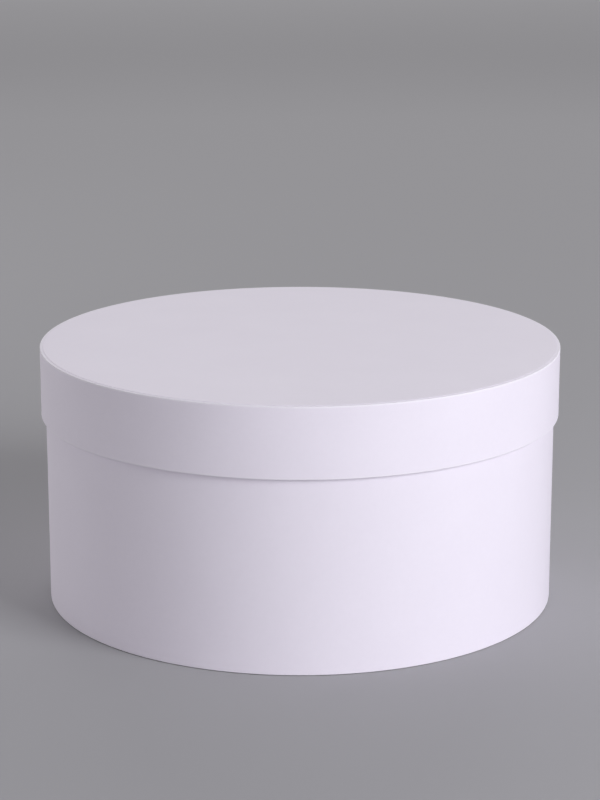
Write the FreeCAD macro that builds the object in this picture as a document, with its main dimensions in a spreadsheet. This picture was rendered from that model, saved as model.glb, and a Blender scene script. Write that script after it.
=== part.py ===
import FreeCAD, Part
import math
import os

import Sketcher

# A round hat box: a drum of board with a lift-off lid whose skirt overlaps the wall.
# Boards carry the shape. Covering papers fold round their edges and linings close the inside.
# Millimetres, +Z up. The origin is the centre of the underside. Every butt joint, joint tape
# and paper lap is at the back, on the +Y side.

DRIVING_SIZES = [
    # The closed box, over its papers.
    ("lid_diameter", 300),
    ("box_height", 150),
    ("lid_depth", 40),
    # Air between the wall's paper and the lining of the lid's skirt, on the radius.
    ("lid_clearance", 0.6),
    # Boards: how thick each is, how round its cut edges are, and the gap left at a butt joint.
    ("wall_board", 1.5),
    ("base_board", 1.5),
    ("hoop_board", 1.5),
    ("lid_board", 1.5),
    ("board_edge_radius", 0.6),
    ("joint_gap", 0.4),
    # Papers: how thick each is.
    ("wrap_paper", 0.2),
    ("cover_paper", 0.2),
    ("lining_paper", 0.15),
    # The tape across a butt joint.
    ("tape_thickness", 0.15),
    ("tape_width", 30),
    # How far the covering papers reach past the edges that they fold round.
    ("wall_turn_in", 20),
    ("base_turn_under", 15),
    ("lid_turn_in", 15),
    ("lid_turn_over", 15),
    # The lap where a covering paper's two ends meet.
    ("lap_width", 12),
    # Notches that let a turned paper lie flat on a disc. The tip stops short of the fold.
    ("notch_count", 72),
    ("notch_mouth", 2.5),
    ("notch_to_fold", 2.5),
    # How far the cover discs and the linings stop short of the edges beside them.
    ("cover_margin", 1.8),
    ("wall_lining_setback", 5),
    ("hoop_lining_setback", 4),
]

doc = FreeCAD.newDocument("hat_box")
sizes = doc.addObject("Spreadsheet::Sheet", "sizes")
for row, (alias, size) in enumerate(DRIVING_SIZES, start=1):
    sizes.set(f"A{row}", alias.replace("_", " "))
    sizes.set(f"B{row}", str(size))
    sizes.setAlias(f"B{row}", alias)
doc.recompute()

# Sizes worked out from the driving ones. Each is an expression that the document evaluates.
# Radii of the lid, from the outside inwards.
LID_OUTSIDE = "(sizes.lid_diameter / 2)"
HOOP_OUTSIDE = f"({LID_OUTSIDE} - sizes.wrap_paper)"
HOOP_INSIDE = f"({HOOP_OUTSIDE} - sizes.hoop_board)"
LID_TURN_IN_INSIDE = f"({HOOP_INSIDE} - sizes.wrap_paper)"
HOOP_LINING_INSIDE = f"({LID_TURN_IN_INSIDE} - sizes.lining_paper)"
LID_TABS_INSIDE = f"({LID_OUTSIDE} - sizes.lid_turn_over)"
LID_COVER_RADIUS = f"({LID_OUTSIDE} - sizes.cover_margin)"

# Radii of the drum, from the outside inwards.
WRAP_OUTSIDE = f"({HOOP_LINING_INSIDE} - sizes.lid_clearance)"
WALL_OUTSIDE = f"({WRAP_OUTSIDE} - sizes.wrap_paper)"
WALL_INSIDE = f"({WALL_OUTSIDE} - sizes.wall_board)"
WALL_TURN_IN_INSIDE = f"({WALL_INSIDE} - sizes.wrap_paper)"
BASE_TABS_INSIDE = f"({WRAP_OUTSIDE} - sizes.base_turn_under)"
BASE_COVER_RADIUS = f"({WRAP_OUTSIDE} - sizes.cover_margin)"

# Heights, from the surface that the box stands on upwards.
BASE_TABS_UNDERSIDE = "sizes.cover_paper"
BOARDS_UNDERSIDE = f"({BASE_TABS_UNDERSIDE} + sizes.wrap_paper)"
FLOOR_TOP = f"({BOARDS_UNDERSIDE} + sizes.base_board)"
LID_RIM = "(sizes.box_height - sizes.lid_depth)"
HOOP_UNDERSIDE = f"({LID_RIM} + sizes.wrap_paper)"
LID_COVER_UNDERSIDE = "(sizes.box_height - sizes.cover_paper)"
LID_BOARD_TOP = f"({LID_COVER_UNDERSIDE} - sizes.wrap_paper)"
LID_BOARD_UNDERSIDE = f"({LID_BOARD_TOP} - sizes.lid_board)"
# The lid's lining rests on the drum's rim, so it sets how tall the drum is.
DRUM_RIM = f"({LID_BOARD_UNDERSIDE} - sizes.lining_paper)"
WALL_TOP = f"({DRUM_RIM} - sizes.wrap_paper)"
WALL_TURN_IN_EDGE = f"({DRUM_RIM} - sizes.wall_turn_in)"
LID_TURN_IN_EDGE = f"({LID_RIM} + sizes.lid_turn_in)"

# Folds: the inside of a fold is the board's own rounded edge.
FOLD_INSIDE = "sizes.board_edge_radius"
FOLD_OUTSIDE = "(sizes.board_edge_radius + sizes.wrap_paper)"

FULL_TURN = 360
SAME_PLACE = 1e-6
START, END, CENTRE = 1, 2, 3
ORIGIN_POINT = (-1, 1)


def value(expression):
    """What an expression comes to, in millimetres."""
    return float(sizes.evalExpression(expression))


def new_body(label, height="0"):
    """One sub-part, whose own origin is at a height on the box's axis."""
    body = doc.addObject("PartDesign::Body", label)
    body.Label = label
    body.setExpression(".Placement.Base.z", height)
    return body


def new_sketch(body, name, role):
    """An empty sketch on one of the body's own origin planes."""
    sketch = body.newObject("Sketcher::SketchObject", name)
    plane = next(item for item in body.Origin.OriginFeatures if item.Role == role)
    sketch.AttachmentSupport = [(plane, "")]
    sketch.MapMode = "FlatFace"
    return sketch


def bind(sketch, kind, *where_and_size):
    """Add a dimension whose last argument is an expression, and bind it to that expression."""
    *where, expression = where_and_size
    index = sketch.addConstraint(Sketcher.Constraint(kind, *where, value(expression)))
    sketch.setExpression(f"Constraints[{index}]", expression)


def step_towards(here, there, distance):
    """The point a distance away from one point on the straight line to another."""
    way = there.sub(here)
    way.normalize()
    return here.add(way.multiply(distance))


def rounded_corner(before, corner, after, radius):
    """The arc in a square corner, and which of its ends the outline comes in and goes out by."""
    arrive = step_towards(corner, before, radius)
    leave = step_towards(corner, after, radius)
    centre = arrive.add(leave).sub(corner)
    turns_left = (corner.sub(before)).cross(after.sub(corner)).z > 0
    first, last = (arrive, leave) if turns_left else (leave, arrive)
    angles = [math.atan2(end.y - centre.y, end.x - centre.x) for end in (first, last)]
    circle = Part.Circle(centre, FreeCAD.Vector(0, 0, 1), radius)
    arc = Part.ArcOfCircle(circle, angles[0], angles[1])
    entry, exit = (START, END) if turns_left else (END, START)
    return arc, arrive, leave, entry, exit


def draw_outline(sketch, corners):
    """Draw a closed outline of upright and level sides, tied to its sizes.

    A corner is (across, up), or (across, up, rounding), all of them expressions.
    """
    count = len(corners)
    points = [FreeCAD.Vector(value(corner[0]), value(corner[1]), 0) for corner in corners]
    arrivals = list(points)
    departures = list(points)
    arcs = {}
    for index, corner in enumerate(corners):
        if len(corner) == 2:
            continue
        before = points[index - 1]
        after = points[(index + 1) % count]
        arc, arrivals[index], departures[index], entry, exit = rounded_corner(
            before, points[index], after, value(corner[2]))
        arcs[index] = (sketch.addGeometry(arc), entry, exit)
        bind(sketch, "Radius", arcs[index][0], corner[2])

    sides = []
    for index in range(count):
        following = (index + 1) % count
        side = sketch.addGeometry(Part.LineSegment(departures[index], arrivals[following]))
        upright = abs(points[index].x - points[following].x) < SAME_PLACE
        sketch.addConstraint(Sketcher.Constraint("Vertical" if upright else "Horizontal", side))
        kind, place = ("DistanceX", corners[index][0]) if upright else ("DistanceY", corners[index][1])
        bind(sketch, kind, *ORIGIN_POINT, side, START, place)
        sides.append(side)

    for index in range(count):
        incoming = sides[index - 1]
        outgoing = sides[index]
        if index in arcs:
            arc, entry, exit = arcs[index]
            sketch.addConstraint(Sketcher.Constraint("Tangent", incoming, END, arc, entry))
            sketch.addConstraint(Sketcher.Constraint("Tangent", arc, exit, outgoing, START))
        else:
            sketch.addConstraint(Sketcher.Constraint("Coincident", incoming, END, outgoing, START))


def draw_triangle(sketch, corners):
    """Draw a triangle whose corners are (across, up) expressions."""
    points = [FreeCAD.Vector(value(across), value(up), 0) for across, up in corners]
    sides = []
    for index, point in enumerate(points):
        sides.append(sketch.addGeometry(Part.LineSegment(point, points[(index + 1) % 3])))
    for index, (across, up) in enumerate(corners):
        sketch.addConstraint(Sketcher.Constraint("Coincident", sides[index - 1], END, sides[index], START))
        bind(sketch, "DistanceX", *ORIGIN_POINT, sides[index], START, across)
        bind(sketch, "DistanceY", *ORIGIN_POINT, sides[index], START, up)


def revolve(body, name, corners, kind="Revolution", angle=None):
    """Turn a section about the box's axis: all the way round, or by an angle centred on the back."""
    sketch = new_sketch(body, f"{name}_section", "YZ_Plane")
    draw_outline(sketch, corners)
    doc.recompute()
    turned = body.newObject(f"PartDesign::{kind}", name)
    turned.Profile = sketch
    turned.ReferenceAxis = (sketch, ["V_Axis"])
    if angle is None:
        turned.Angle = FULL_TURN
    else:
        turned.Midplane = True
        turned.setExpression("Angle", angle)
    doc.recompute()
    return turned


def block(inner, outer, bottom, top):
    """The corners of a plain rectangle between two radii and two heights."""
    return [(inner, bottom), (outer, bottom), (outer, top), (inner, top)]


def arc_angle(width, radius):
    """The angle, in degrees, that a width spans on a radius."""
    return f"({width} / {radius} * 180 / pi)"


def check_cut(body, volume_before, what):
    """A cut that misses its solid reports no error, so its volume shows whether it cut."""
    if body.Shape.Volume >= volume_before:
        raise RuntimeError(f"{body.Label}: the {what} cut nothing")


def cut_joint_gap(body, outside, bottom, top):
    """Open the butt joint where the ends of a rolled board meet, at the back."""
    volume_before = body.Shape.Volume
    half_gap = "(sizes.joint_gap / 2)"
    sketch = new_sketch(body, "joint_gap_section", "XZ_Plane")
    draw_outline(sketch, block(f"(0 - {half_gap})", half_gap, bottom, top))
    doc.recompute()
    gap = body.newObject("PartDesign::Pocket", "joint_gap")
    gap.Profile = sketch
    gap.setExpression("Length", outside)
    doc.recompute()
    check_cut(body, volume_before, "joint gap")


def cut_notches(body, tabs_inside, fold_radius):
    """Notch a paper that is turned over a disc, all the way round, so that it lies flat."""
    volume_before = body.Shape.Volume
    tip = f"({fold_radius} - sizes.notch_to_fold)"
    # The sides run on past the tabs' edge, the notch's mouth, by as much again as the notch is
    # deep. There they are two mouths apart, one to each side of the middle.
    overrun = f"({tabs_inside} - ({tip} - {tabs_inside}))"
    right = "sizes.notch_mouth"
    left = "(0 - sizes.notch_mouth)"
    sketch = new_sketch(body, "notch_section", "XY_Plane")
    draw_triangle(sketch, [(right, overrun), ("0", tip), (left, overrun)])
    doc.recompute()
    notch = body.newObject("PartDesign::Pocket", "notch")
    notch.Profile = sketch
    notch.Type = "ThroughAll"
    notch.Reversed = True
    doc.recompute()
    check_cut(body, volume_before, "notch")
    volume_with_one = body.Shape.Volume
    notches = body.newObject("PartDesign::PolarPattern", "notches")
    notches.Originals = [notch]
    notches.Axis = (sketch, ["N_Axis"])
    notches.Angle = FULL_TURN
    notches.setExpression("Occurrences", "sizes.notch_count")
    body.Tip = notches
    doc.recompute()
    check_cut(body, volume_with_one, "ring of notches")


def disc(label, radius, underside, thickness):
    """A flat round sheet."""
    body = new_body(label, underside)
    sketch = new_sketch(body, "edge", "XY_Plane")
    sketch.addGeometry(Part.Circle(FreeCAD.Vector(0, 0, 0), FreeCAD.Vector(0, 0, 1), value(radius)))
    sketch.addConstraint(Sketcher.Constraint("Coincident", 0, CENTRE, *ORIGIN_POINT))
    bind(sketch, "Radius", 0, radius)
    doc.recompute()
    sheet = body.newObject("PartDesign::Pad", "sheet")
    sheet.Profile = sketch
    sheet.setExpression("Length", thickness)
    doc.recompute()
    return body


def joint_tape(label, face, bottom, top):
    """A strip of tape on the inside face of a rolled board, across its butt joint."""
    body = new_body(label)
    inner = f"({face} - sizes.tape_thickness)"
    revolve(body, "strip", block(inner, face, bottom, top), angle=arc_angle("sizes.tape_width", face))
    return body


def add_lap(body, outside, bottom, top):
    """The second thickness of covering paper where its two ends overlap."""
    raised = f"({outside} + sizes.wrap_paper)"
    revolve(body, "lap", block(outside, raised, bottom, top), angle=arc_angle("sizes.lap_width", outside))


def lift_over_tape(body, face, bottom, top):
    """Raise a lining over the joint tape that lies between it and the board.

    The raised paper reaches past both sides of the tape by its own thickness, and steps down there.
    """
    tape_top = f"({face} - sizes.tape_thickness)"
    raised = f"({tape_top} - sizes.lining_paper)"
    level = f"({face} - sizes.lining_paper)"
    raised_width = "(sizes.tape_width + 2 * sizes.lining_paper)"
    revolve(body, "over_tape", block(raised, level, bottom, top), angle=arc_angle(raised_width, face))
    volume_before = body.Shape.Volume
    space = block(tape_top, face, bottom, top)
    revolve(body, "tape_space", space, kind="Groove", angle=arc_angle("sizes.tape_width", face))
    check_cut(body, volume_before, "space for the tape")


def make_wall_board():
    body = new_body("wall_board")
    revolve(body, "board", [
        (WALL_INSIDE, BOARDS_UNDERSIDE),
        (WALL_OUTSIDE, BOARDS_UNDERSIDE, FOLD_INSIDE),
        (WALL_OUTSIDE, WALL_TOP, FOLD_INSIDE),
        (WALL_INSIDE, WALL_TOP, FOLD_INSIDE),
    ])
    cut_joint_gap(body, WALL_OUTSIDE, BOARDS_UNDERSIDE, WALL_TOP)
    return body


def make_body_wrap():
    """Up the outside of the drum, over its rim and down the inside, and in under the base."""
    body = new_body("body_wrap")
    revolve(body, "paper", [
        (BASE_TABS_INSIDE, BASE_TABS_UNDERSIDE),
        (WRAP_OUTSIDE, BASE_TABS_UNDERSIDE, FOLD_OUTSIDE),
        (WRAP_OUTSIDE, DRUM_RIM, FOLD_OUTSIDE),
        (WALL_TURN_IN_INSIDE, DRUM_RIM, FOLD_OUTSIDE),
        (WALL_TURN_IN_INSIDE, WALL_TURN_IN_EDGE),
        (WALL_INSIDE, WALL_TURN_IN_EDGE),
        (WALL_INSIDE, WALL_TOP, FOLD_INSIDE),
        (WALL_OUTSIDE, WALL_TOP, FOLD_INSIDE),
        (WALL_OUTSIDE, BOARDS_UNDERSIDE, FOLD_INSIDE),
        (BASE_TABS_INSIDE, BOARDS_UNDERSIDE),
    ])
    add_lap(body, WRAP_OUTSIDE, f"({BASE_TABS_UNDERSIDE} + {FOLD_OUTSIDE})", f"({DRUM_RIM} - {FOLD_OUTSIDE})")
    cut_notches(body, BASE_TABS_INSIDE, WALL_OUTSIDE)
    return body


def make_wall_lining():
    """From the floor to just below the rim, stepping in over the edge of the turned-in paper."""
    body = new_body("wall_lining")
    top = f"({DRUM_RIM} - sizes.wall_lining_setback)"
    level_inside = f"({WALL_INSIDE} - sizes.lining_paper)"
    raised_inside = f"({WALL_TURN_IN_INSIDE} - sizes.lining_paper)"
    step = f"({WALL_TURN_IN_EDGE} - sizes.lining_paper)"
    revolve(body, "paper", [
        (level_inside, FLOOR_TOP),
        (WALL_INSIDE, FLOOR_TOP),
        (WALL_INSIDE, WALL_TURN_IN_EDGE),
        (WALL_TURN_IN_INSIDE, WALL_TURN_IN_EDGE),
        (WALL_TURN_IN_INSIDE, top),
        (raised_inside, top),
        (raised_inside, step),
        (level_inside, step),
    ])
    lift_over_tape(body, WALL_INSIDE, FLOOR_TOP, WALL_TURN_IN_EDGE)
    return body


def make_lid_hoop_board():
    body = new_body("lid_hoop_board")
    revolve(body, "board", [
        (HOOP_INSIDE, HOOP_UNDERSIDE, FOLD_INSIDE),
        (HOOP_OUTSIDE, HOOP_UNDERSIDE, FOLD_INSIDE),
        (HOOP_OUTSIDE, LID_BOARD_TOP, FOLD_INSIDE),
        (HOOP_INSIDE, LID_BOARD_TOP),
    ])
    cut_joint_gap(body, HOOP_OUTSIDE, HOOP_UNDERSIDE, LID_BOARD_TOP)
    return body


def make_lid_rim_wrap():
    """Up the inside of the skirt's edge, round it, up the outside, and over onto the top."""
    body = new_body("lid_rim_wrap")
    revolve(body, "paper", [
        (LID_TURN_IN_INSIDE, LID_RIM, FOLD_OUTSIDE),
        (LID_OUTSIDE, LID_RIM, FOLD_OUTSIDE),
        (LID_OUTSIDE, LID_COVER_UNDERSIDE, FOLD_OUTSIDE),
        (LID_TABS_INSIDE, LID_COVER_UNDERSIDE),
        (LID_TABS_INSIDE, LID_BOARD_TOP),
        (HOOP_OUTSIDE, LID_BOARD_TOP, FOLD_INSIDE),
        (HOOP_OUTSIDE, HOOP_UNDERSIDE, FOLD_INSIDE),
        (HOOP_INSIDE, HOOP_UNDERSIDE, FOLD_INSIDE),
        (HOOP_INSIDE, LID_TURN_IN_EDGE),
        (LID_TURN_IN_INSIDE, LID_TURN_IN_EDGE),
    ])
    add_lap(body, LID_OUTSIDE, f"({LID_RIM} + {FOLD_OUTSIDE})", f"({LID_COVER_UNDERSIDE} - {FOLD_OUTSIDE})")
    cut_notches(body, LID_TABS_INSIDE, HOOP_OUTSIDE)
    return body


def make_lid_hoop_lining():
    """From just above the skirt's edge to the lid board, stepping back past the turned-in paper."""
    body = new_body("lid_hoop_lining")
    bottom = f"({LID_RIM} + sizes.hoop_lining_setback)"
    level_inside = f"({HOOP_INSIDE} - sizes.lining_paper)"
    step = f"({LID_TURN_IN_EDGE} + sizes.lining_paper)"
    revolve(body, "paper", [
        (HOOP_LINING_INSIDE, bottom),
        (LID_TURN_IN_INSIDE, bottom),
        (LID_TURN_IN_INSIDE, LID_TURN_IN_EDGE),
        (HOOP_INSIDE, LID_TURN_IN_EDGE),
        (HOOP_INSIDE, LID_BOARD_UNDERSIDE),
        (level_inside, LID_BOARD_UNDERSIDE),
        (level_inside, step),
        (HOOP_LINING_INSIDE, step),
    ])
    lift_over_tape(body, HOOP_INSIDE, LID_TURN_IN_EDGE, LID_BOARD_UNDERSIDE)
    return body


def make_all():
    """Every sub-part, from the floor up, the drum's first and then the lid's."""
    over_tape = "(sizes.tape_thickness + sizes.lining_paper)"
    return [
        make_wall_board(),
        joint_tape("wall_joint_tape", WALL_INSIDE, FLOOR_TOP, WALL_TURN_IN_EDGE),
        disc("base_board", WALL_INSIDE, BOARDS_UNDERSIDE, "sizes.base_board"),
        make_body_wrap(),
        disc("base_cover_paper", BASE_COVER_RADIUS, "0", "sizes.cover_paper"),
        make_wall_lining(),
        disc("base_lining", f"({WALL_INSIDE} - {over_tape})", FLOOR_TOP, "sizes.lining_paper"),
        disc("lid_board", HOOP_INSIDE, LID_BOARD_UNDERSIDE, "sizes.lid_board"),
        make_lid_hoop_board(),
        joint_tape("lid_joint_tape", HOOP_INSIDE, LID_TURN_IN_EDGE, LID_BOARD_UNDERSIDE),
        make_lid_rim_wrap(),
        disc("lid_cover_paper", LID_COVER_RADIUS, LID_COVER_UNDERSIDE, "sizes.cover_paper"),
        make_lid_hoop_lining(),
        disc("lid_lining", f"({HOOP_INSIDE} - {over_tape})", DRUM_RIM, "sizes.lining_paper"),
    ]


def check_document():
    """Stop if anything in the document failed to build, or a sketch is not tied down."""
    for item in doc.Objects:
        if "Invalid" in item.State or "Error" in item.State:
            raise RuntimeError(f"{item.Label} did not build: {item.State}")
        if item.TypeId == "Sketcher::SketchObject" and not item.FullyConstrained:
            raise RuntimeError(f"{item.Label} is not fully constrained")


def write_parts(bodies):
    """Check each sub-part and write it to its own file."""
    os.makedirs("parts", exist_ok=True)
    for body in bodies:
        shape = body.Shape
        if shape.isNull() or not shape.isValid() or len(shape.Solids) != 1:
            raise RuntimeError(f"{body.Label} is not one sound solid")
        shape.exportStep(f"parts/{body.Label}.step")
        print(f"{body.Label}: {shape.Volume:.1f} cubic mm, {len(shape.Faces)} faces")


all_bodies = make_all()
doc.recompute()
check_document()
write_parts(all_bodies)
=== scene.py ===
import math
import random

import bpy
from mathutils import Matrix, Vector


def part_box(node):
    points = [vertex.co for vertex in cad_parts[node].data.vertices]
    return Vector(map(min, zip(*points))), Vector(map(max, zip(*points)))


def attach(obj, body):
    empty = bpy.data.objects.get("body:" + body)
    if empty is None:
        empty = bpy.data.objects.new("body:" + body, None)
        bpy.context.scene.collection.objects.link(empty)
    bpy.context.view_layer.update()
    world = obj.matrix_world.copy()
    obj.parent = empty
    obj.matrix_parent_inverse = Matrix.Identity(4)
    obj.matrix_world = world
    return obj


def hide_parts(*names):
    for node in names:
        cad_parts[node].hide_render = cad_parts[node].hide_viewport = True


# A round hat box of paper-covered board. The drum stands on the floor and the lid's skirt
# overlaps its wall. Boards and joint tapes come from the frame. The papers that cover and line
# them are made here: each is a thin section turned about the box's axis, station by station.

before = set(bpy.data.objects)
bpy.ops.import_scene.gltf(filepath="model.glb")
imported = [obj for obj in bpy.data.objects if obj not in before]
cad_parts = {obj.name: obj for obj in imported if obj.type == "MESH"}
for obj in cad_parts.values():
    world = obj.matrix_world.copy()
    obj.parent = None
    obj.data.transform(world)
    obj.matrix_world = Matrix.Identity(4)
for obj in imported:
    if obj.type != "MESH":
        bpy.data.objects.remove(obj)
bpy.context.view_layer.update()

MM = 0.001

# ---------------------------------------------------------------- sizes, from the frame


def radii(node):
    """The smallest and largest distance of a node's surface from the box's axis."""
    reach = [vertex.co.xy.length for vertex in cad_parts[node].data.vertices]
    return min(reach), max(reach)


def low(node):
    """The height of a node's underside."""
    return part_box(node)[0].z


def high(node):
    """The height of a node's top."""
    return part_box(node)[1].z


PAPER = high("lid_cover_paper") - low("lid_cover_paper")
LINING = high("lid_lining") - low("lid_lining")
LAP_WIDTH = 12 * MM
TAPE_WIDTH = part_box("wall_joint_tape")[1].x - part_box("wall_joint_tape")[0].x

# The drum. A joint tape ends where the paper that is turned in over the rim begins.
WALL_OUTSIDE = radii("wall_board")[1]
WALL_INSIDE = radii("base_board")[1]
BASE_TABS_INSIDE = radii("body_wrap")[0]
BASE_COVER_EDGE = radii("base_cover_paper")[1]
FLOOR_LINING_EDGE = radii("base_lining")[1]
BASE_TABS_UNDERSIDE = low("body_wrap")
DRUM_RIM = high("body_wrap")
WALL_TURN_IN_EDGE = high("wall_joint_tape")
WALL_LINING_TOP = high("wall_lining")

# The lid, whose rim is its skirt's lower edge.
HOOP_OUTSIDE = radii("lid_hoop_board")[1]
HOOP_INSIDE = radii("lid_board")[1]
LID_TABS_INSIDE = radii("lid_rim_wrap")[0]
LID_COVER_EDGE = radii("lid_cover_paper")[1]
LID_LINING_EDGE = radii("lid_lining")[1]
LID_RIM = low("lid_rim_wrap")
LID_TABS_TOP = low("lid_cover_paper")
LID_TURN_IN_EDGE = low("lid_joint_tape")
SKIRT_LINING_BOTTOM = low("lid_hoop_lining")
LID_UNDERSIDE = low("lid_board")
LID_RADIUS = HOOP_OUTSIDE + PAPER
LID_TOP = high("lid_cover_paper")

# The paper is pressed sharply over the boards' eased edges.
INNER_FOLD = 0.25 * MM
FOLD = INNER_FOLD + PAPER

# Notched tabs: how many, how far their tips stop short of the fold, and how wide they gape.
TAB_COUNT = 72
NOTCH_TO_FOLD = 2.5 * MM
NOTCH_MOUTH = 2.5 * MM

# Facets that meet at more than this show as a cut edge, and the rest shade smoothly.
CUT_EDGE_ANGLE = math.radians(40)
# Vertices nearer to each other than this are one.
MERGE_DISTANCE = 0.0005 * MM

# ---------------------------------------------------------------- node trees


class Tree:
    """A node tree being built. Inputs are fed with sockets, nodes or plain values."""

    def __init__(self, tree):
        self.tree = tree

    def add(self, kind, feeds=None, **settings):
        """A new node, with its settings made and its inputs fed."""
        node = self.tree.nodes.new(kind)
        for name, setting in settings.items():
            setattr(node, name, setting)
        for name, source in (feeds or {}).items():
            self.feed(node, name, source)
        return node

    def feed(self, node, name, source):
        """Link a source to an input, or set the input's own value."""
        named = [socket for socket in node.inputs if socket.enabled and socket.name == name]
        socket = node.inputs[name] if isinstance(name, int) else named[0]
        if isinstance(source, bpy.types.Node):
            source = out(source)
        if isinstance(source, bpy.types.NodeSocket):
            self.tree.links.new(source, socket)
        else:
            socket.default_value = source

    def math(self, operation, *terms):
        """A number worked out from others."""
        return out(self.add("ShaderNodeMath", dict(enumerate(terms)), operation=operation))

    def vector(self, operation, *terms):
        """A vector worked out from others."""
        feeds = dict(enumerate(terms))
        if operation == "SCALE":
            feeds = {0: terms[0], "Scale": terms[1]}
        return out(self.add("ShaderNodeVectorMath", feeds, operation=operation))

    def whole(self, operation, *terms):
        """A whole number worked out from others."""
        return out(self.add("FunctionNodeIntegerMath", dict(enumerate(terms)), operation=operation))

    def total(self, *terms):
        """The sum of several numbers."""
        running = terms[0]
        for term in terms[1:]:
            running = self.math("ADD", running, term)
        return running


def out(node, name=None):
    """A node's first output, or the one with a name."""
    return next(socket for socket in node.outputs if socket.enabled and name in (None, socket.name))


def geometry_tree(name, inputs):
    """An empty geometry tree with named inputs. Returns the builder and its input node."""
    group = bpy.data.node_groups.new(name, "GeometryNodeTree")
    group.interface.new_socket("Geometry", in_out="INPUT", socket_type="NodeSocketGeometry")
    group.interface.new_socket("Geometry", in_out="OUTPUT", socket_type="NodeSocketGeometry")
    for label, kind, default in inputs:
        socket = group.interface.new_socket(label, in_out="INPUT", socket_type="NodeSocket" + kind)
        if default is not None:
            socket.default_value = default
    tree = Tree(group)
    return tree, tree.add("NodeGroupInput")


def finish_geometry(tree, geometry, material):
    """End a geometry tree the same way each time: sharp cut edges, real meshes, a material."""
    edge_angle = tree.add("GeometryNodeInputMeshEdgeAngle")
    sharp = tree.add("FunctionNodeCompare", {"A": out(edge_angle), "B": CUT_EDGE_ANGLE},
                     data_type="FLOAT", operation="GREATER_THAN")
    smooth = tree.add("GeometryNodeSetShadeSmooth", {"Geometry": geometry, "Shade Smooth": True})
    edged = tree.add("GeometryNodeSetShadeSmooth",
                     {"Geometry": smooth, "Selection": sharp, "Shade Smooth": False}, domain="EDGE")
    realized = tree.add("GeometryNodeRealizeInstances", {"Geometry": edged})
    finished = tree.add("GeometryNodeSetMaterial", {"Geometry": realized, "Material": material})
    tree.add("NodeGroupOutput", {"Geometry": finished})


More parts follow.
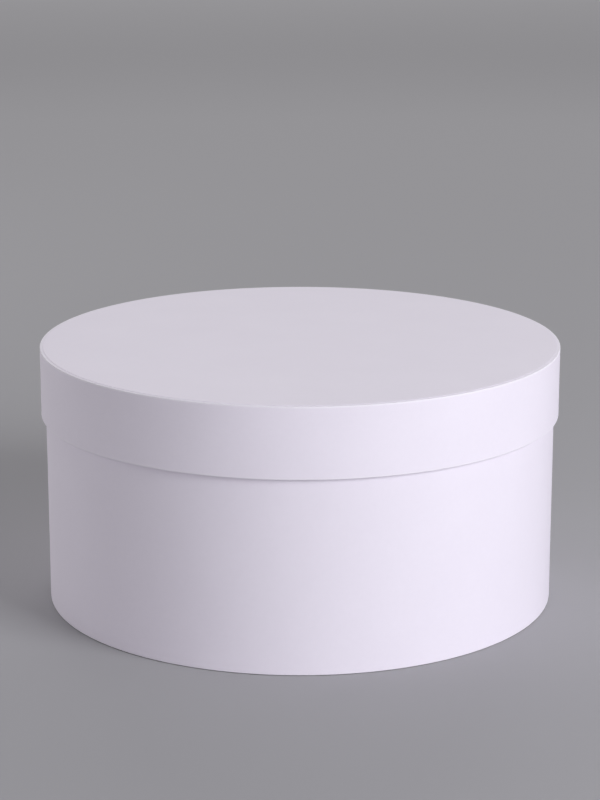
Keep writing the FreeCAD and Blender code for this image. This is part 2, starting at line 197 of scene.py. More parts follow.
def turned_sheet_tree():
    """Turns a sheet's section about the box's axis.

    The section's points say how far each may lift over a lap, a crease or a tape, sag into a
    notch, ripple or wander. The stations, round the box, say where those things are.
    """
    tree, given = geometry_tree("Turned sheet", [
        ("Stations", "Object", None),
        ("Closed Section", "Bool", True),
        ("Lap Height", "Float", 0.0),
        ("Crease Height", "Float", 0.0),
        ("Tape Height", "Float", 0.0),
        ("Sag Depth", "Float", 0.0),
        ("Ripple Depth", "Float", 0.0),
        ("Ripple Size", "Float", 0.05),
        ("Wander", "Float", 0.0),
        ("Seed", "Int", 1),
        ("Material", "Material", None),
    ])
    section = out(given, "Geometry")
    ring = out(tree.add("GeometryNodeObjectInfo", {"Object": out(given, "Stations")}), "Geometry")

    def point_count(geometry):
        """How many points a geometry has."""
        size = tree.add("GeometryNodeAttributeDomainSize", {"Geometry": geometry})
        return out(size, "Point Count")

    section_count = point_count(section)
    station_count = point_count(ring)

    # A grid with one row of vertices for each station, and its first row and point met again.
    closing = tree.add("GeometryNodeSwitch", {"Switch": out(given, "Closed Section"), "True": 1},
                       input_type="INT")
    row_length = tree.whole("ADD", section_count, closing)
    rows = tree.whole("ADD", station_count, 1)
    grid = tree.add("GeometryNodeMeshGrid", {"Vertices X": rows, "Vertices Y": row_length})
    index = out(tree.add("GeometryNodeInputIndex"))
    row = tree.whole("DIVIDE_FLOOR", index, row_length)
    along = tree.whole("MODULO", tree.whole("MODULO", index, row_length), section_count)
    around = tree.whole("MODULO", row, station_count)

    def sampled(source, place, name, kind):
        """What a section or station point carries, at this vertex's place."""
        if name == "position":
            carried = tree.add("GeometryNodeInputPosition")
        else:
            carried = tree.add("GeometryNodeInputNamedAttribute", {"Name": name}, data_type=kind)
        return out(tree.add("GeometryNodeSampleIndex",
                            {"Geometry": source, "Value": carried, "Index": place}, data_type=kind))

    def weight(name):
        """How much this vertex's section point takes part in something."""
        return sampled(section, along, name, "FLOAT")

    def strength(name):
        """How much of it there is at this vertex's station, from 0 to 1."""
        return sampled(ring, around, name, "FLOAT")

    def turned(vector):
        """A section's vector, its X along this station's radius and its Z upright."""
        parts = tree.add("ShaderNodeSeparateXYZ", {"Vector": vector})
        level = tree.vector("SCALE", radius, out(parts, "X"))
        upright = tree.add("ShaderNodeCombineXYZ", {"Z": out(parts, "Z")})
        return tree.vector("ADD", level, out(upright))

    radius = sampled(ring, around, "position", "FLOAT_VECTOR")
    place = turned(sampled(section, along, "position", "FLOAT_VECTOR"))
    way = turned(sampled(section, along, "way", "FLOAT_VECTOR"))

    def noise(vector, size, shift):
        """A soft unevenness, from 0 to 1."""
        seed = tree.math("ADD", out(given, "Seed"), shift)
        scale = tree.math("DIVIDE", 1.0, size)
        feeds = {"Vector": vector, "W": seed, "Scale": scale, "Detail": 1.5}
        return out(tree.add("ShaderNodeTexNoise", feeds, noise_dimensions="4D"))

    lifts = []
    for name, height in (("lap", "Lap Height"), ("crease", "Crease Height"),
                         ("tape", "Tape Height"), ("sag", "Sag Depth")):
        lift = tree.math("MULTIPLY", weight(name), strength(name))
        lifts.append(tree.math("MULTIPLY", lift, out(given, height)))
    # The shifts keep the two noises apart.
    ripple = noise(place, out(given, "Ripple Size"), shift=0.37)
    ripple = tree.math("MULTIPLY", ripple, weight("ripple"))
    lifts.append(tree.math("MULTIPLY", ripple, out(given, "Ripple Depth")))
    lifted = tree.vector("ADD", place, tree.vector("SCALE", way, tree.total(*lifts)))

    # The station's direction has length 1, so this size is a share of the radius.
    wander = tree.math("SUBTRACT", noise(radius, 0.45, shift=7.13), 0.5)
    wander = tree.math("MULTIPLY", wander, weight("wander"))
    wander = tree.math("MULTIPLY", wander, out(given, "Wander"))
    wandered = tree.vector("ADD", lifted, out(tree.add("ShaderNodeCombineXYZ", {"Z": wander})))

    placed = tree.add("GeometryNodeSetPosition", {"Geometry": grid, "Position": wandered})
    marked = tree.add("GeometryNodeStoreNamedAttribute",
                      {"Geometry": placed, "Name": "fold", "Value": weight("fold")},
                      data_type="FLOAT", domain="POINT")
    merged = tree.add("GeometryNodeMergeByDistance",
                      {"Geometry": marked, "Distance": MERGE_DISTANCE})
    finish_geometry(tree, merged, out(given, "Material"))
    return tree.tree


def ring_of_tabs_tree():
    """Adds a ring of notched tabs, each a little out of true, to a sheet turned over a disc."""
    tree, given = geometry_tree("Ring of tabs", [
        ("Count", "Int", TAB_COUNT),
        ("Tip Radius", "Float", 0.14),
        ("Edge Radius", "Float", 0.13),
        ("Mouth", "Float", NOTCH_MOUTH),
        ("Underside", "Float", 0.0),
        ("Thickness", "Float", PAPER),
        ("Skew", "Float", math.radians(0.15)),
        ("Seed", "Int", 1),
        ("Material", "Material", None),
    ])
    count = out(given, "Count")
    pitch = tree.math("DIVIDE", math.tau, count)
    # One tab, drawn about the X axis from a unit block.
    block = tree.add("GeometryNodeMeshCube", {"Vertices X": 5, "Vertices Y": 4, "Vertices Z": 2})
    unit = tree.add("ShaderNodeSeparateXYZ", {"Vector": out(tree.add("GeometryNodeInputPosition"))})
    inward = tree.math("SUBTRACT", 0.5, out(unit, "X"))
    span = tree.math("SUBTRACT", out(given, "Edge Radius"), out(given, "Tip Radius"))
    radius = tree.math("ADD", out(given, "Tip Radius"), tree.math("MULTIPLY", inward, span))
    mouth_angle = tree.math("DIVIDE", out(given, "Mouth"), out(given, "Edge Radius"))
    gape = tree.math("MULTIPLY", mouth_angle, inward)
    angle = tree.math("MULTIPLY", out(unit, "Y"), tree.math("SUBTRACT", pitch, gape))
    height = tree.math("MULTIPLY", tree.math("ADD", out(unit, "Z"), 0.5), out(given, "Thickness"))
    position = tree.add("ShaderNodeCombineXYZ", {
        "X": tree.math("MULTIPLY", radius, tree.math("COSINE", angle)),
        "Y": tree.math("MULTIPLY", radius, tree.math("SINE", angle)),
        "Z": tree.math("ADD", out(given, "Underside"), height),
    })
    tab = tree.add("GeometryNodeSetPosition",
                   {"Geometry": out(block, "Mesh"), "Position": position})
    # Every tab turns to its own place, and a hair further or less.
    points = tree.add("GeometryNodePoints", {"Count": count})
    index = out(tree.add("GeometryNodeInputIndex"))
    most = out(given, "Skew")
    least = tree.math("MULTIPLY", most, -1.0)
    skew = tree.add("FunctionNodeRandomValue",
                    {"Min": least, "Max": most, "ID": index, "Seed": out(given, "Seed")},
                    data_type="FLOAT")
    turn = tree.math("ADD", tree.math("MULTIPLY", index, pitch), out(skew))
    rotation = tree.add("FunctionNodeAxisAngleToRotation", {"Axis": (0.0, 0.0, 1.0), "Angle": turn})
    ring = tree.add("GeometryNodeInstanceOnPoints",
                    {"Points": points, "Instance": tab, "Rotation": rotation})
    tabs = tree.add("GeometryNodeRealizeInstances", {"Geometry": ring})
    unfolded = tree.add("GeometryNodeStoreNamedAttribute",
                        {"Geometry": tabs, "Name": "fold", "Value": 0.0},
                        data_type="FLOAT", domain="POINT")
    joined = tree.add("GeometryNodeJoinGeometry")
    tree.feed(joined, "Geometry", unfolded)
    tree.feed(joined, "Geometry", out(given, "Geometry"))
    finish_geometry(tree, joined, out(given, "Material"))
    return tree.tree


def run_geometry(piece, tree, **sizes):
    """Run a geometry tree on a piece and keep the result as its plain mesh."""
    modifier = piece.modifiers.new(tree.name, "NODES")
    modifier.node_group = tree
    inputs = {item.name: item.identifier for item in tree.interface.items_tree
              if item.item_type == "SOCKET" and item.in_out == "INPUT"}
    for name, size in sizes.items():
        modifier[inputs[name.replace("_", " ").title()]] = size
    evaluated = piece.evaluated_get(bpy.context.evaluated_depsgraph_get())
    result = bpy.data.meshes.new_from_object(evaluated)
    piece.modifiers.remove(modifier)
    piece.data = result
    result.name = piece.name


# ---------------------------------------------------------------- sections


class Section:
    """A sheet cut through the box's axis: a row of points, and what each of them does."""

    CHANNELS = ("lap", "crease", "tape", "sag", "ripple", "wander", "fold")

    def __init__(self, name, places):
        self.name = name
        self.places = places
        self.weights = {channel: [0.0] * len(places) for channel in self.CHANNELS}
        self.ways = [(1.0, 0.0)] * len(places)

    def weigh(self, channel, rule):
        """Give each point its weight in one channel, from its radius and height."""
        self.weights[channel] = [float(rule(*place)) for place in self.places]

    def lift_along(self, rule):
        """Give each point the way it moves when it lifts, as a radial and an upright part."""
        self.ways = [rule(*place) for place in self.places]

    def as_object(self):
        """The section as loose points that carry their weights."""
        mesh = bpy.data.meshes.new(self.name)
        mesh.from_pydata([(radius, 0.0, height) for radius, height in self.places], [], [])
        for channel, weights in self.weights.items():
            mesh.attributes.new(channel, "FLOAT", "POINT").data.foreach_set("value", weights)
        ways = [part for radial, upright in self.ways for part in (radial, 0.0, upright)]
        mesh.attributes.new("way", "FLOAT_VECTOR", "POINT").data.foreach_set("vector", ways)
        piece = bpy.data.objects.new(self.name, mesh)
        bpy.context.scene.collection.objects.link(piece)
        return piece


def ramp(start, end, place):
    """0 before the start, 1 after the end, and a soft rise between them."""
    share = min(max((place - start) / (end - start), 0.0), 1.0)
    return share * share * (3.0 - 2.0 * share)


def graded(start, end, steps):
    """Points from start up to end, the end left out, closer together towards both."""
    for step in range(steps):
        share = (1.0 - math.cos(math.pi * step / steps)) / 2.0
        yield start.lerp(end, share)


# The number of points round a fold.
FOLD_STEPS = 6


def outline(corners, spacing):
    """Points round a closed outline. A corner is (radius, height) or (radius, height, rounding)."""
    points = [Vector(corner[:2]) for corner in corners]
    arrivals = []
    departures = []
    for index, corner in enumerate(corners):
        rounding = corner[2] if len(corner) > 2 else 0.0
        back = (points[index - 1] - points[index]).normalized()
        on = (points[(index + 1) % len(points)] - points[index]).normalized()
        arrivals.append(points[index] + back * rounding)
        departures.append(points[index] + on * rounding)
    places = []
    for index, corner in enumerate(corners):
        if len(corner) > 2:
            centre = arrivals[index] + departures[index] - points[index]
            for step in range(FOLD_STEPS):
                turn = math.pi / 2.0 * step / FOLD_STEPS
                places.append(centre + (arrivals[index] - centre) * math.cos(turn)
                              + (departures[index] - centre) * math.sin(turn))
        following = arrivals[(index + 1) % len(points)]
        length = (following - departures[index]).length
        places.extend(graded(departures[index], following, max(1, round(length / spacing))))
    return [tuple(place) for place in places]


# The paper is painted paler, a painted highlight along the fold, and rubbed, fully this far from a
# fold, and less and less to here.
PALE_AND_RUBBED_TO = 0.3 * MM
PALE_AND_RUB_FADES_BY = 1.6 * MM


def near_folds(*folds):
    """A rule that is 1 at a fold and fades away from it: where the paper is painted paler as a
    highlight and rubbed.
    """
    def rule(radius, height):
        nearest = min(math.hypot(radius - fold[0], height - fold[1]) for fold in folds)
        return 1.0 - ramp(PALE_AND_RUBBED_TO, PALE_AND_RUB_FADES_BY, nearest)
    return rule


# ---------------------------------------------------------------- stations round the box


# Stations that are evenly spaced, before the closer ones are added.
EVEN_STATIONS = 480
# The lap ends in a cut edge on one side, and lifts away softly from the wall on the other.
LAP_EDGE = 0.03 * MM
LAP_RAMP = 2.5 * MM
LAP_RAMP_STEPS = 6
# A lining eases up onto the joint tape.
TAPE_RAMP = 0.9 * MM
TAPE_RAMP_STEPS = 4
CREASE_HALF_WIDTH = 0.8 * MM
# The lowest crease's height, as a share of the highest.
SMALLEST_CREASE = 0.35
# A disc sags this share of a tab's pitch to either side of a notch.
NOTCH_SHARE = 0.16


def stations(name, radius, crease_count, seed):
    """Directions round the box, closer together where something happens.

    Distances run along the wall from the middle of its back, where the joints and laps are.
    """
    chance = random.Random(seed)
    half_way = math.pi * radius
    half_lap = LAP_WIDTH / 2.0
    half_tape = TAPE_WIDTH / 2.0
    creases = [(chance.uniform(-half_way, half_way), chance.uniform(SMALLEST_CREASE, 1.0))
               for _ in range(crease_count)]
    places = [half_way * (2.0 * step / EVEN_STATIONS - 1.0) for step in range(EVEN_STATIONS)]
    places += [half_lap, half_lap + LAP_EDGE]
    places += [LAP_RAMP * step / LAP_RAMP_STEPS - half_lap for step in range(LAP_RAMP_STEPS + 1)]
    for side in (-1.0, 1.0):
        places += [side * (half_tape + TAPE_RAMP * step / TAPE_RAMP_STEPS)
                   for step in range(TAPE_RAMP_STEPS + 1)]
    for middle, _ in creases:
        places += [middle - CREASE_HALF_WIDTH, middle, middle + CREASE_HALF_WIDTH]
    places = sorted(place for place in places if abs(place) < half_way)

    def lap(place):
        """Where the wrap lies over its own end."""
        return 0.0 if place > half_lap else ramp(-half_lap, LAP_RAMP - half_lap, place)

    def crease(place):
        """Where the turned-in paper is creased, some creases higher than others."""
        return max((height * (1.0 - ramp(0.0, CREASE_HALF_WIDTH, abs(place - middle)))
                    for middle, height in creases), default=0.0)

    def tape(place):
        """Where the joint tape lies under the lining."""
        return 1.0 - ramp(half_tape, half_tape + TAPE_RAMP, abs(place))

    def sag(place):
        """Where a notch opens between two tabs."""
        share = place / (2.0 * half_way) * TAB_COUNT % 1.0
        return 1.0 - ramp(0.0, NOTCH_SHARE, abs(share - 0.5))

    mesh = bpy.data.meshes.new(name)
    # The back is on the +Y side, so distance runs round from there.
    turns = [math.pi / 2.0 + place / radius for place in places]
    mesh.from_pydata([(math.cos(turn), math.sin(turn), 0.0) for turn in turns], [], [])
    for channel, rule in (("lap", lap), ("crease", crease), ("tape", tape), ("sag", sag)):
        strengths = [rule(place) for place in places]
        mesh.attributes.new(channel, "FLOAT", "POINT").data.foreach_set("value", strengths)
    piece = bpy.data.objects.new(name, mesh)
    bpy.context.scene.collection.objects.link(piece)
    return piece


# ---------------------------------------------------------------- materials


def new_material(name, colour, roughness):
    """A material with its shader, and the builder for the rest of its nodes."""
    material = bpy.data.materials.new(name)
    material.use_nodes = True
    tree = Tree(material.node_tree)
    shader = next(node for node in material.node_tree.nodes if node.type == "BSDF_PRINCIPLED")
    shader.inputs["Base Color"].default_value = (*colour, 1.0)
    shader.inputs["Roughness"].default_value = roughness
    place = out(tree.add("ShaderNodeTexCoord"), "Object")
    return material, tree, shader, place


def speckle(tree, place, size, detail=2.0, stretch=(1.0, 1.0, 1.0)):
    """Noise whose features are about a size, from 0 to 1."""
    mapped = tree.add("ShaderNodeMapping", {"Vector": place, "Scale": stretch})
    feeds = {"Vector": mapped, "Scale": 1.0 / size, "Detail": detail}
    return out(tree.add("ShaderNodeTexNoise", feeds))


def between(tree, value, low_in, high_in, low_out, high_out):
    """A value taken from one range to another, and held inside it."""
    return out(tree.add("ShaderNodeMapRange", {
        "Value": value, "From Min": low_in, "From Max": high_in,
        "To Min": low_out, "To Max": high_out}))


def spread_out(tree, noise, low_out=0.0, high_out=1.0):
    """Noise taken from the range it mostly keeps to, and spread over another."""
    return between(tree, noise, 0.3, 0.7, low_out, high_out)


def blended(tree, layers):
    """Several values added in their shares."""
    return tree.total(*[tree.math("MULTIPLY", value, share) for value, share in layers])


def tinted(tree, first, second, share):
    """A colour between two others. The first may be a socket."""
    if isinstance(first, tuple):
        first = (*first, 1.0)
    return out(tree.add("ShaderNodeMix", {"Factor": share, "A": first, "B": (*second, 1.0)},
                        data_type="RGBA"))


def raised(tree, shader, *layers):
    """Bump, one layer over another. A layer is (height, depth)."""
    normal = None
    for height, depth in layers:
        feeds = {"Height": height, "Strength": 1.0, "Distance": depth}
        if normal is not None:
            feeds["Normal"] = normal
        normal = out(tree.add("ShaderNodeBump", feeds))
    tree.feed(shader, "Normal", normal)


def wrap_paper_material():
    """Smooth white covering paper with a faint lilac cast, painted paler along its folds as a
    highlight, and rubbed a little there.
    """
    material, tree, shader, place = new_material("wrap_paper", (0.86, 0.81, 0.88), 0.5)
    clouds = speckle(tree, place, 38 * MM, 3.0)
    fibres = speckle(tree, place, 0.55 * MM, 3.0)
    tooth = speckle(tree, place, 0.22 * MM, 1.0)
    formation = speckle(tree, place, 2.6 * MM, 4.0)
    rub_noise = speckle(tree, place, 1.4 * MM, 4.0, (1.0, 1.0, 3.0))
    fold = out(tree.add("ShaderNodeAttribute", attribute_name="fold"), "Fac")
    rub = tree.math("MULTIPLY", fold, between(tree, rub_noise, 0.45, 0.7, 0.0, 1.0))
    shade = blended(tree, [(clouds, 0.45), (formation, 0.35), (fibres, 0.20)])
    plain = tinted(tree, (0.850, 0.799, 0.890), (0.878, 0.827, 0.918), spread_out(tree, shade))
    # Painted highlight: the paper is painted paler all along each fold, and the rub noise adds real
    # wear on top of it.
    highlit_and_worn = between(tree, tree.total(fold, tree.math("MULTIPLY", rub, 0.3)), 0.3, 1.2, 0.0, 1.0)
    tree.feed(shader, "Base Color", tinted(tree, plain, (0.905, 0.866, 0.938), highlit_and_worn))
    # Rubbed paper is rougher.
    unrubbed = spread_out(tree, formation, 0.60, 0.70)
    tree.feed(shader, "Roughness", tree.total(unrubbed, tree.math("MULTIPLY", rub, 0.18)))
    shader.inputs["Specular IOR Level"].default_value = 0.3
    raised(tree, shader, (clouds, 0.05 * MM), (formation, 0.012 * MM), (fibres, 0.006 * MM),
           (tooth, 0.003 * MM))
    return material


def lining_paper_material():
    """Matt white lining paper with a soft tooth and a few pale fibres."""
    material, tree, shader, place = new_material("lining_paper", (0.85, 0.83, 0.82), 0.8)
    formation = speckle(tree, place, 3.2 * MM, 4.0)
    fibres = speckle(tree, place, 0.7 * MM, 3.0)
    tooth = speckle(tree, place, 0.3 * MM, 1.0)
    shade = blended(tree, [(formation, 0.6), (fibres, 0.4)])
    colour = tinted(tree, (0.825, 0.805, 0.81), (0.87, 0.852, 0.858), spread_out(tree, shade))
    tree.feed(shader, "Base Color", colour)
    tree.feed(shader, "Roughness", spread_out(tree, fibres, 0.74, 0.86))
    shader.inputs["Specular IOR Level"].default_value = 0.3
    raised(tree, shader, (formation, 0.03 * MM), (fibres, 0.015 * MM), (tooth, 0.008 * MM))
    return material


def greyboard_material():
    """Pressed grey board with light and dark fibres through it."""
    material, tree, shader, place = new_material("greyboard", (0.36, 0.33, 0.29), 0.9)
    pulp = speckle(tree, place, 1.1 * MM, 5.0)
    flecks = speckle(tree, place, 0.5 * MM, 2.0, (1.0, 1.0, 2.5))
    colour = tinted(tree, (0.30, 0.27, 0.235), (0.43, 0.40, 0.355), spread_out(tree, pulp))
    light = between(tree, flecks, 0.66, 0.72, 0.0, 0.5)
    tree.feed(shader, "Base Color", tinted(tree, colour, (0.62, 0.60, 0.56), light))
    tree.feed(shader, "Roughness", spread_out(tree, pulp, 0.84, 0.95))
    raised(tree, shader, (pulp, 0.06 * MM), (flecks, 0.02 * MM))
    return material


def kraft_tape_material():
    """Brown gummed paper tape, its fibres running along the strip."""
    material, tree, shader, place = new_material("kraft_tape", (0.42, 0.27, 0.14), 0.6)
    fibres = speckle(tree, place, 0.9 * MM, 4.0, (1.0, 1.0, 0.15))
    patches = speckle(tree, place, 7 * MM, 2.0)
    shade = blended(tree, [(fibres, 0.7), (patches, 0.3)])
    colour = tinted(tree, (0.36, 0.22, 0.11), (0.48, 0.32, 0.18), spread_out(tree, shade))
    tree.feed(shader, "Base Color", colour)
    tree.feed(shader, "Roughness", spread_out(tree, patches, 0.5, 0.68))
    raised(tree, shader, (fibres, 0.02 * MM))
    return material


FLOOR_REACH = 5.0
# The floor's two paler tints, painted light that brightens the floor away from the box, each with
# the distances from the box between which it comes in.
FLOOR_PAINTED_LIGHT_TINTS = (
    (0.3, 2.0, (0.54, 0.535, 0.55)),
    (3.8, FLOOR_REACH, (0.68, 0.675, 0.69)),
)


def floor_material():
    """Plain pale grey studio paper, painted paler away from the box and palest at its edge: painted
    light on the far floor.
    """
    material, tree, shader, place = new_material("studio_paper", (0.43, 0.43, 0.44), 1.0)
    soft = speckle(tree, place, 0.35, 2.0)
    colour = tinted(tree, (0.425, 0.420, 0.436), (0.437, 0.432, 0.448), soft)
    distance = tree.vector("LENGTH", place)
    for start, end, paler in FLOOR_PAINTED_LIGHT_TINTS:
        colour = tinted(tree, colour, paler, between(tree, distance, start, end, 0.0, 1.0))
    tree.feed(shader, "Base Color", colour)
    shader.inputs["Specular IOR Level"].default_value = 0.0
    return material


# ---------------------------------------------------------------- the papers


TURNED_SHEET = turned_sheet_tree()
RING_OF_TABS = ring_of_tabs_tree()
WRAP_PAPER = wrap_paper_material()
LINING_PAPER = lining_paper_material()
DRUM_STATIONS = stations("drum_stations", WALL_OUTSIDE, 34, seed=11)
LID_STATIONS = stations("lid_stations", HOOP_OUTSIDE, 38, seed=23)

# The spacing of a section's points.
DOWN_THE_WALL = 7.0 * MM
DOWN_THE_SKIRT = DOWN_THE_WALL / 1.6
DOWN_A_LINING = DOWN_THE_WALL / 2.0
ACROSS_A_DISC = 9.0 * MM

# How far the papers stand up over what is under them.
LAP_HEIGHT = PAPER * 0.9
CREASE_HEIGHT = 0.12 * MM
LINING_CREASE_HEIGHT = 0.09 * MM


def make_sheet(section, body, node, slot, station_ring, material, closed=True, **sizes):
    """Turn a section into a finished paper that rides on a body and stands for a node."""
    piece = section.as_object()
    run_geometry(piece, TURNED_SHEET, stations=station_ring, closed_section=closed,
                 material=material, **sizes)
    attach(piece, body)
    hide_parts(node)
    return piece


def add_tabs(piece, tip, edge, underside, seed):
    """Add the ring of notched tabs that a turned-over paper ends in."""
    run_geometry(piece, RING_OF_TABS, tip_radius=tip, edge_radius=edge, underside=underside,
                 seed=seed, material=WRAP_PAPER)


def band(bottom, top, bottom_fade, top_fade, height):
    """1 between two heights, fading to 0 at each over its own distance."""
    return ramp(bottom, bottom + bottom_fade, height) * (1.0 - ramp(top - top_fade, top, height))


# The paper is drawn flat this far from the drum's folds, and from the skirt's.
FLAT_OVER_BASE = 25 * MM
FLAT_UNDER_RIM = 20 * MM
FLAT_OVER_SKIRT_EDGE = 8 * MM
FLAT_UNDER_LID_TOP = 12 * MM
# The skirt's lower edge wanders, and the paper above it less and less up to this height.
WANDER_REACH = 12 * MM


def make_drum_wrap():
    """Up the outside of the drum, over its rim and down the inside, and in under the base."""
    outside = WALL_OUTSIDE + PAPER
    inside = WALL_INSIDE - PAPER
    tab_tips = WALL_OUTSIDE - NOTCH_TO_FOLD
    board_bottom = BASE_TABS_UNDERSIDE + PAPER
    board_top = DRUM_RIM - PAPER
    section = Section("drum_wrap_paper", outline([
        (tab_tips, BASE_TABS_UNDERSIDE),
        (outside, BASE_TABS_UNDERSIDE, FOLD),
        (outside, DRUM_RIM, FOLD),
        (inside, DRUM_RIM, FOLD),
        (inside, WALL_TURN_IN_EDGE),
        (WALL_INSIDE, WALL_TURN_IN_EDGE),
        (WALL_INSIDE, board_top, INNER_FOLD),
        (WALL_OUTSIDE, board_top, INNER_FOLD),
        (WALL_OUTSIDE, board_bottom, INNER_FOLD),
        (tab_tips, board_bottom),
    ], DOWN_THE_WALL))
    middle = (outside + inside) / 2.0

    def on_outer_wall(radius, height):
        if radius < WALL_OUTSIDE + PAPER / 2.0:
            return 0.0
        return band(BASE_TABS_UNDERSIDE, DRUM_RIM, FOLD, FOLD, height)

    def on_turn_in(radius, height):
        inner_face = 1.0 - ramp(inside + FOLD / 2.0, middle, radius)
        return inner_face * ramp(board_bottom, DRUM_RIM / 2.0, height)

    def between_the_folds(radius, height):
        return (radius > middle) * band(0.0, DRUM_RIM, FLAT_OVER_BASE, FLAT_UNDER_RIM, height)

    section.lift_along(lambda radius, height: (1.0, 0.0) if radius > middle else (-1.0, 0.0))
    section.weigh("lap", on_outer_wall)
    section.weigh("crease", on_turn_in)
    section.weigh("ripple", lambda radius, height: -between_the_folds(radius, height))
    section.weigh("fold", near_folds((outside, DRUM_RIM), (inside, DRUM_RIM),
                                     (outside, BASE_TABS_UNDERSIDE)))
    piece = make_sheet(section, "box", "body_wrap", "wrap_paper", DRUM_STATIONS, WRAP_PAPER,
                       lap_height=LAP_HEIGHT, crease_height=CREASE_HEIGHT,
                       ripple_depth=0.12 * MM, ripple_size=60 * MM, seed=3)
    add_tabs(piece, tab_tips, BASE_TABS_INSIDE, BASE_TABS_UNDERSIDE, seed=5)


def make_lid_wrap():
    """Up the inside of the skirt's edge, round it, up the outside, and over onto the top."""
    inside = HOOP_INSIDE - PAPER
    tab_tips = HOOP_OUTSIDE - NOTCH_TO_FOLD
    board_top = LID_TABS_TOP - PAPER
    board_bottom = LID_RIM + PAPER
    section = Section("lid_wrap_paper", outline([
        (inside, LID_RIM, FOLD),
        (LID_RADIUS, LID_RIM, FOLD),
        (LID_RADIUS, LID_TABS_TOP, FOLD),
        (tab_tips, LID_TABS_TOP),
        (tab_tips, board_top),
        (HOOP_OUTSIDE, board_top, INNER_FOLD),
        (HOOP_OUTSIDE, board_bottom, INNER_FOLD),
        (HOOP_INSIDE, board_bottom, INNER_FOLD),
        (HOOP_INSIDE, LID_TURN_IN_EDGE),
        (inside, LID_TURN_IN_EDGE),
    ], DOWN_THE_SKIRT))
    middle = (LID_RADIUS + inside) / 2.0

    def on_outer_wall(radius, height):
        if radius < HOOP_OUTSIDE + PAPER / 2.0:
            return 0.0
        return band(LID_RIM, LID_TABS_TOP, FOLD, FOLD, height)

    def on_turn_in(radius, height):
        inner_face = 1.0 - ramp(inside + FOLD / 2.0, middle, radius)
        return inner_face * (height < LID_TABS_TOP - FOLD)

    def between_the_folds(radius, height):
        return (radius > middle) * band(LID_RIM, LID_TABS_TOP, FLAT_OVER_SKIRT_EDGE,
                                        FLAT_UNDER_LID_TOP, height)

    section.lift_along(lambda radius, height: (1.0, 0.0) if radius > middle else (-1.0, 0.0))
    section.weigh("lap", on_outer_wall)
    section.weigh("crease", on_turn_in)
    section.weigh("ripple", lambda radius, height: -between_the_folds(radius, height))
    section.weigh("wander",
                  lambda radius, height: 1.0 - ramp(LID_RIM, LID_RIM + WANDER_REACH, height))
    section.weigh("fold", near_folds((LID_RADIUS, LID_TABS_TOP), (LID_RADIUS, LID_RIM),
                                     (inside, LID_RIM)))
    piece = make_sheet(section, "lid", "lid_rim_wrap", "wrap_paper", LID_STATIONS, WRAP_PAPER,
                       lap_height=LAP_HEIGHT, crease_height=CREASE_HEIGHT,
                       ripple_depth=0.10 * MM, ripple_size=45 * MM, wander=0.35 * MM, seed=9)
    add_tabs(piece, tab_tips, LID_TABS_INSIDE, board_top, seed=6)


# A disc's cut edge is broken by this much.
CUT_EDGE = 0.06 * MM


def disc_section(name, edge, bottom, top, upwards):
    """A round sheet, from its middle out to its cut edge and back. It lifts up or down."""
    steps = max(2, round(edge / ACROSS_A_DISC))
    across = list(graded(Vector((0.0, 0.0)), Vector((edge, 0.0)), steps))
    underside = [(place.x, bottom) for place in across]
    rim = [(edge - CUT_EDGE, bottom), (edge, bottom + CUT_EDGE),
           (edge, top - CUT_EDGE), (edge - CUT_EDGE, top)]
    topside = [(place.x, top) for place in reversed(across)]
    section = Section(name, underside + rim + topside)
    section.lift_along(lambda radius, height: (0.0, 1.0 if upwards else -1.0))
    return section


# How softly a disc comes up onto the tabs' edges, and starts to sag into the notches.
TAB_SLOPE = 2.5 * MM
SAG_START = 1 * MM


def over_tabs(section, tab_edge, tab_tips):
    """Let a disc sag into the notches of the tabs that it covers."""
    def rule(radius, height):
        start = ramp(tab_edge - SAG_START, tab_edge + SAG_START, radius)
        return start * (1.0 - ramp(tab_edge, tab_tips, radius))
    section.weigh("sag", rule)


def sink_inside(section, tab_edge, depth):
    """Sink the middle of a disc towards the board, inside the ring of tabs."""
    def sunk(radius, height):
        return height + section.ways[0][1] * depth * (
            1.0 - ramp(tab_edge - TAB_SLOPE, tab_edge, radius))
    section.places = [(radius, sunk(radius, height)) for radius, height in section.places]


def ripple_middle(section, full_to, none_from):
    """Let a disc ripple in its middle and lie flat near its edge."""
    section.weigh("ripple", lambda radius, height: 1.0 - ramp(full_to, none_from, radius))


def make_base_cover():
    """The paper disc under the base."""
    section = disc_section("base_cover_sheet", BASE_COVER_EDGE, low("base_cover_paper"),
                           high("base_cover_paper"), upwards=True)
    over_tabs(section, BASE_TABS_INSIDE, WALL_OUTSIDE - NOTCH_TO_FOLD)
    sink_inside(section, BASE_TABS_INSIDE, depth=0.12 * MM)
    make_sheet(section, "box", "base_cover_paper", "wrap_paper", DRUM_STATIONS, WRAP_PAPER,
               closed=False, sag_depth=0.09 * MM, seed=4)


def make_lid_cover():
    """The paper disc on top of the lid, a little smaller than the lid."""
    section = disc_section("lid_cover_sheet", LID_COVER_EDGE, low("lid_cover_paper"), LID_TOP,
                           upwards=False)
    over_tabs(section, LID_TABS_INSIDE, HOOP_OUTSIDE - NOTCH_TO_FOLD)
    ripple_middle(section, full_to=110 * MM, none_from=145 * MM)
    sink_inside(section, LID_TABS_INSIDE, depth=0.02 * MM)
    make_sheet(section, "lid", "lid_cover_paper", "wrap_paper", LID_STATIONS, WRAP_PAPER,
               closed=False, sag_depth=0.012 * MM, ripple_depth=0.10 * MM, ripple_size=90 * MM,
               seed=8)


def make_floor_lining():
    """The lining disc on the drum's floor."""
    section = disc_section("floor_lining_sheet", FLOOR_LINING_EDGE, low("base_lining"),
                           high("base_lining"), upwards=True)
    ripple_middle(section, full_to=100 * MM, none_from=140 * MM)
    make_sheet(section, "box", "base_lining", "lining_paper", DRUM_STATIONS, LINING_PAPER,
               closed=False, ripple_depth=0.12 * MM, ripple_size=60 * MM, seed=12)


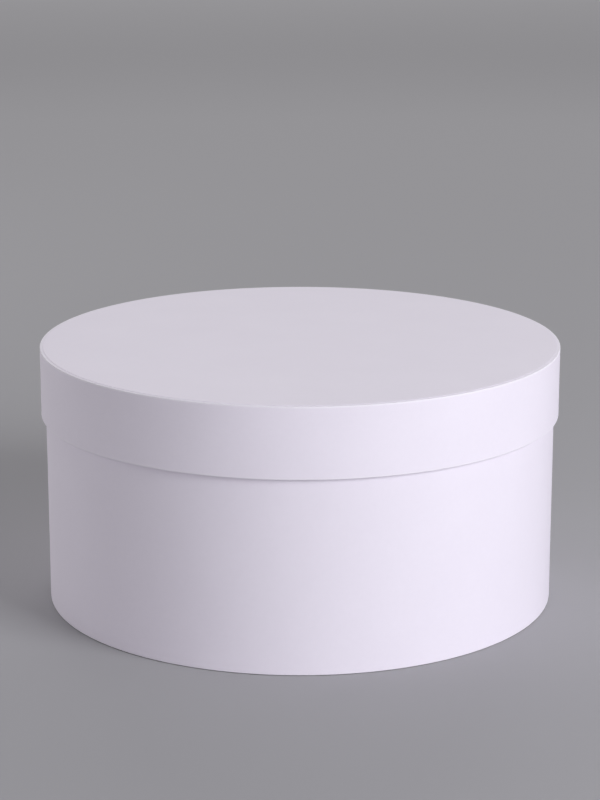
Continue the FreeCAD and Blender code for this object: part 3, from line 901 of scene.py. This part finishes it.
def make_lid_lining():
    """The lining disc under the lid board. It rests on the drum's rim."""
    section = disc_section("lid_lining_sheet", LID_LINING_EDGE, low("lid_lining"),
                           high("lid_lining"), upwards=True)
    ripple_middle(section, full_to=100 * MM, none_from=140 * MM)
    make_sheet(section, "lid", "lid_lining", "lining_paper", LID_STATIONS, LINING_PAPER,
               closed=False, ripple_depth=0.10 * MM, ripple_size=60 * MM, seed=14)


class Rise:
    """How far a lining has risen onto a turned-in paper: from 0 to 1 across a short slope."""

    SLOPE = 1.2 * MM
    STEPS = 5

    def __init__(self, turn_in_edge, upwards):
        self.flat = turn_in_edge + (-self.SLOPE if upwards else self.SLOPE)
        self.raised_from = turn_in_edge
        slope = self.raised_from - self.flat
        self.edges = [self.flat + slope * step / self.STEPS for step in range(self.STEPS + 1)]

    def __call__(self, height):
        share = (height - self.flat) / (self.raised_from - self.flat)
        return ramp(0.0, 1.0, share)


def lining_section(name, board, bottom, top, rise):
    """A lining on the inside of a board. It rises over the turned-in paper and the joint tape."""
    steps = max(4, round((top - bottom) / DOWN_A_LINING))
    heights = [place.x for place in graded(Vector((bottom, 0.0)), Vector((top, 0.0)), steps)]
    heights = sorted({*heights, top} | {edge for edge in rise.edges if bottom < edge < top})

    def face(height):
        return board - PAPER * rise(height)

    back = [(face(height), height) for height in heights]
    front = [(face(height) - LINING, height) for height in reversed(heights)]
    section = Section(name, back + front)
    section.lift_along(lambda radius, height: (-1.0, 0.0))
    section.weigh("tape", lambda radius, height: 1.0 - rise(height))
    section.weigh("crease", lambda radius, height: rise(height))
    return section


def make_wall_lining():
    """The lining inside the drum's wall."""
    section = lining_section("wall_lining_sheet", WALL_INSIDE, low("wall_lining"),
                             WALL_LINING_TOP, Rise(WALL_TURN_IN_EDGE, upwards=True))
    make_sheet(section, "box", "wall_lining", "lining_paper", DRUM_STATIONS, LINING_PAPER,
               crease_height=LINING_CREASE_HEIGHT, tape_height=LINING, seed=15)


def make_skirt_lining():
    """The lining inside the lid's skirt."""
    section = lining_section("skirt_lining_sheet", HOOP_INSIDE, SKIRT_LINING_BOTTOM,
                             LID_UNDERSIDE, Rise(LID_TURN_IN_EDGE, upwards=False))
    make_sheet(section, "lid", "lid_hoop_lining", "lining_paper", LID_STATIONS, LINING_PAPER,
               crease_height=LINING_CREASE_HEIGHT, tape_height=LINING, seed=16)


make_drum_wrap()
make_base_cover()
make_wall_lining()
make_floor_lining()
make_lid_wrap()
make_lid_cover()
make_skirt_lining()
make_lid_lining()
bpy.data.objects.remove(DRUM_STATIONS)
bpy.data.objects.remove(LID_STATIONS)

# ---------------------------------------------------------------- boards and tapes

BOARD = greyboard_material()
TAPE = kraft_tape_material()
CAD_FINISHES = {
    "wall_board": BOARD, "base_board": BOARD, "lid_board": BOARD, "lid_hoop_board": BOARD,
    "wall_joint_tape": TAPE, "lid_joint_tape": TAPE,
}
for node, material in CAD_FINISHES.items():
    for material_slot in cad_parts[node].material_slots:
        material_slot.material = material

# ---------------------------------------------------------------- floor, light and camera


FLOOR_CORNERS = 96
FLOOR_HEIGHT = -0.1 * MM


def make_floor():
    """A wide round floor, a hair under the box."""
    turns = [math.tau * step / FLOOR_CORNERS for step in range(FLOOR_CORNERS)]
    mesh = bpy.data.meshes.new("floor")
    mesh.from_pydata([(FLOOR_REACH * math.cos(turn), FLOOR_REACH * math.sin(turn), FLOOR_HEIGHT)
                      for turn in turns], [], [tuple(range(FLOOR_CORNERS))])
    floor = bpy.data.objects.new("floor", mesh)
    bpy.context.scene.collection.objects.link(floor)
    mesh.materials.append(floor_material())


NEUTRAL = (1.0, 1.0, 1.0)
# A light's full angle with a grid over it, and without one.
GRID_SPREAD = 110
NO_GRID = 180


def softbox(name, azimuth, elevation, distance, size, power, colour=NEUTRAL, spread=GRID_SPREAD):
    """A flat soft light that faces the box, its grid keeping it off the floor below it.

    Azimuth runs from the front towards the right. Angles are in degrees.
    """
    turn, rise = math.radians(azimuth), math.radians(elevation)
    light = bpy.data.lights.new(name, "AREA")
    light.shape = "RECTANGLE"
    light.size, light.size_y = size
    light.energy = power
    light.color = colour
    light.spread = math.radians(spread)
    lamp = bpy.data.objects.new(name, light)
    level = math.cos(rise)
    way = Vector((math.sin(turn) * level, -math.cos(turn) * level, math.sin(rise)))
    lamp.location = way * distance + Vector((0.0, 0.0, LID_TOP / 2.0))
    lamp.rotation_euler = way.to_track_quat("Z", "Y").to_euler()
    lamp.visible_camera = False
    bpy.context.scene.collection.objects.link(lamp)


def light_the_room():
    """A soft main light from the front right, weaker ones round it, and the room's own."""
    softbox("key_light", 50, 23, 2.4, (1.2, 1.3), 15.1, (0.985, 0.995, 1.03))
    softbox("front_card", 5, 9, 1.9, (1.3, 0.6), 1.75, (1.0, 1.0, 1.03))
    softbox("left_card", -115, 9, 1.9, (1.3, 0.6), 3.3)
    softbox("back_left_light", -150, 30, 3.0, (2.0, 1.2), 1.9)
    softbox("back_right_light", 150, 30, 3.0, (2.0, 1.2), 1.9)
    softbox("backdrop_light", 180, 26, 9.0, (6.0, 3.0), 170.0, spread=NO_GRID)
    world = bpy.data.worlds.new("room")
    world.use_nodes = True
    background = world.node_tree.nodes["Background"]
    background.inputs["Color"].default_value = (0.985, 0.97, 1.0, 1.0)
    background.inputs["Strength"].default_value = 0.28
    bpy.context.scene.world = world
    bpy.context.scene.view_settings.view_transform = "Standard"


def set_camera():
    """A long lens, from the front and a little above."""
    pitch = math.radians(14.68)
    distance = 9.277 * LID_RADIUS
    aim = Vector((0.0, 0.0, 0.761 * LID_RADIUS))
    camera_data = bpy.data.cameras.new("camera")
    camera_data.sensor_width = 36.0
    camera_data.lens = 107.4
    camera = bpy.data.objects.new("camera", camera_data)
    camera.location = aim + Vector((0.0, -math.cos(pitch), math.sin(pitch))) * distance
    camera.rotation_euler = (math.pi / 2.0 - pitch, 0.0, 0.0)
    bpy.context.scene.collection.objects.link(camera)
    bpy.context.scene.camera = camera


make_floor()
light_the_room()
set_camera()
